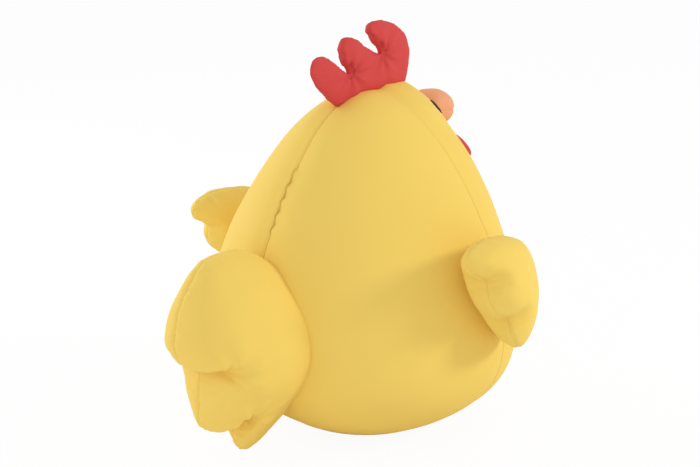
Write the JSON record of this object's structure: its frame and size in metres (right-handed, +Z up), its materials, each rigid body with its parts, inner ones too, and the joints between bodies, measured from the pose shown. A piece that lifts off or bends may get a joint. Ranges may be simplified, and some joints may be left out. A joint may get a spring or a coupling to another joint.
{
  "type": "stuffed plush chicken",
  "caption": "Egg-shaped stuffed plush chicken sewn from velour panels, with a comb, beak, wattles, wings and tail that bend at their sewn roots.",
  "frame": {"origin": "centre of the flat seat, on the surface the chicken sits on", "axes": "+Z up, the chicken faces -Y, its left is +X and its tail points to +Y"},
  "size_m": [0.3806, 0.339, 0.3566],
  "materials": {
    "yellow_velour": "short brushed pile",
    "red_velour": "short brushed pile",
    "orange_velour": "short brushed pile",
    "eye_thread": "satin-stitch embroidery",
    "fibre_fill": "loose polyester fibre"
  },
  "bodies": {
    "torso": {"body_stuffing": "fibre_fill", "body_back_left": "yellow_velour", "body_back_right": "yellow_velour", "body_front": "yellow_velour", "body_base": "yellow_velour", "eye_left": "eye_thread", "eye_right": "eye_thread", "beak_upper": "orange_velour", "beak_lower": "orange_velour", "beak_stuffing": "fibre_fill"},
    "comb": {"comb_left_panel": "red_velour", "comb_right_panel": "red_velour", "comb_stuffing": "fibre_fill"},
    "wing_left": {"wing_left_outer": "yellow_velour", "wing_left_inner": "yellow_velour", "wing_left_stuffing": "fibre_fill"},
    "wing_right": {"wing_right_outer": "yellow_velour", "wing_right_inner": "yellow_velour", "wing_right_stuffing": "fibre_fill"},
    "tail": {"tail_left_panel": "yellow_velour", "tail_right_panel": "yellow_velour", "tail_stuffing": "fibre_fill"},
    "wattle_left": {"wattle_left_front": "red_velour", "wattle_left_back": "red_velour", "wattle_left_stuffing": "fibre_fill"},
    "wattle_right": {"wattle_right_front": "red_velour", "wattle_right_back": "red_velour", "wattle_right_stuffing": "fibre_fill"}
  },
  "joints": [
    {"name": "comb_sway", "type": "hinge", "parent": "torso", "child": "comb", "pos_m": [0, 0, 0.297], "axis": [0, 1, 0], "range_deg": [-25, 25], "stiffness_Nm_per_rad": 0.03},
    {"name": "tail_wag", "type": "hinge", "parent": "torso", "child": "tail", "pos_m": [0, 0.134, 0.104], "axis": [0, 0, 1], "range_deg": [-15, 15], "stiffness_Nm_per_rad": 0.12},
    {"name": "wing_left_flap", "type": "hinge", "parent": "torso", "child": "wing_left", "pos_m": [0.12474, -0.03215, 0.14], "axis": [0.2084, -0.0364, -0.9774], "range_deg": [0, 45], "stiffness_Nm_per_rad": 0.06},
    {"name": "wing_right_flap", "type": "hinge", "parent": "torso", "child": "wing_right", "pos_m": [-0.12474, -0.03215, 0.14], "axis": [0.2084, 0.0364, 0.9774], "range_deg": [0, 45], "stiffness_Nm_per_rad": 0.06},
    {"name": "wattle_left_swing", "type": "hinge", "parent": "torso", "child": "wattle_left", "pos_m": [0.01777, -0.08919, 0.248], "axis": [-0.966, -0.2584, 0], "range_deg": [0, 40]},
    {"name": "wattle_right_swing", "type": "hinge", "parent": "torso", "child": "wattle_right", "pos_m": [-0.01777, -0.08919, 0.248], "axis": [-0.966, 0.2584, 0], "range_deg": [0, 40]}
  ]
}
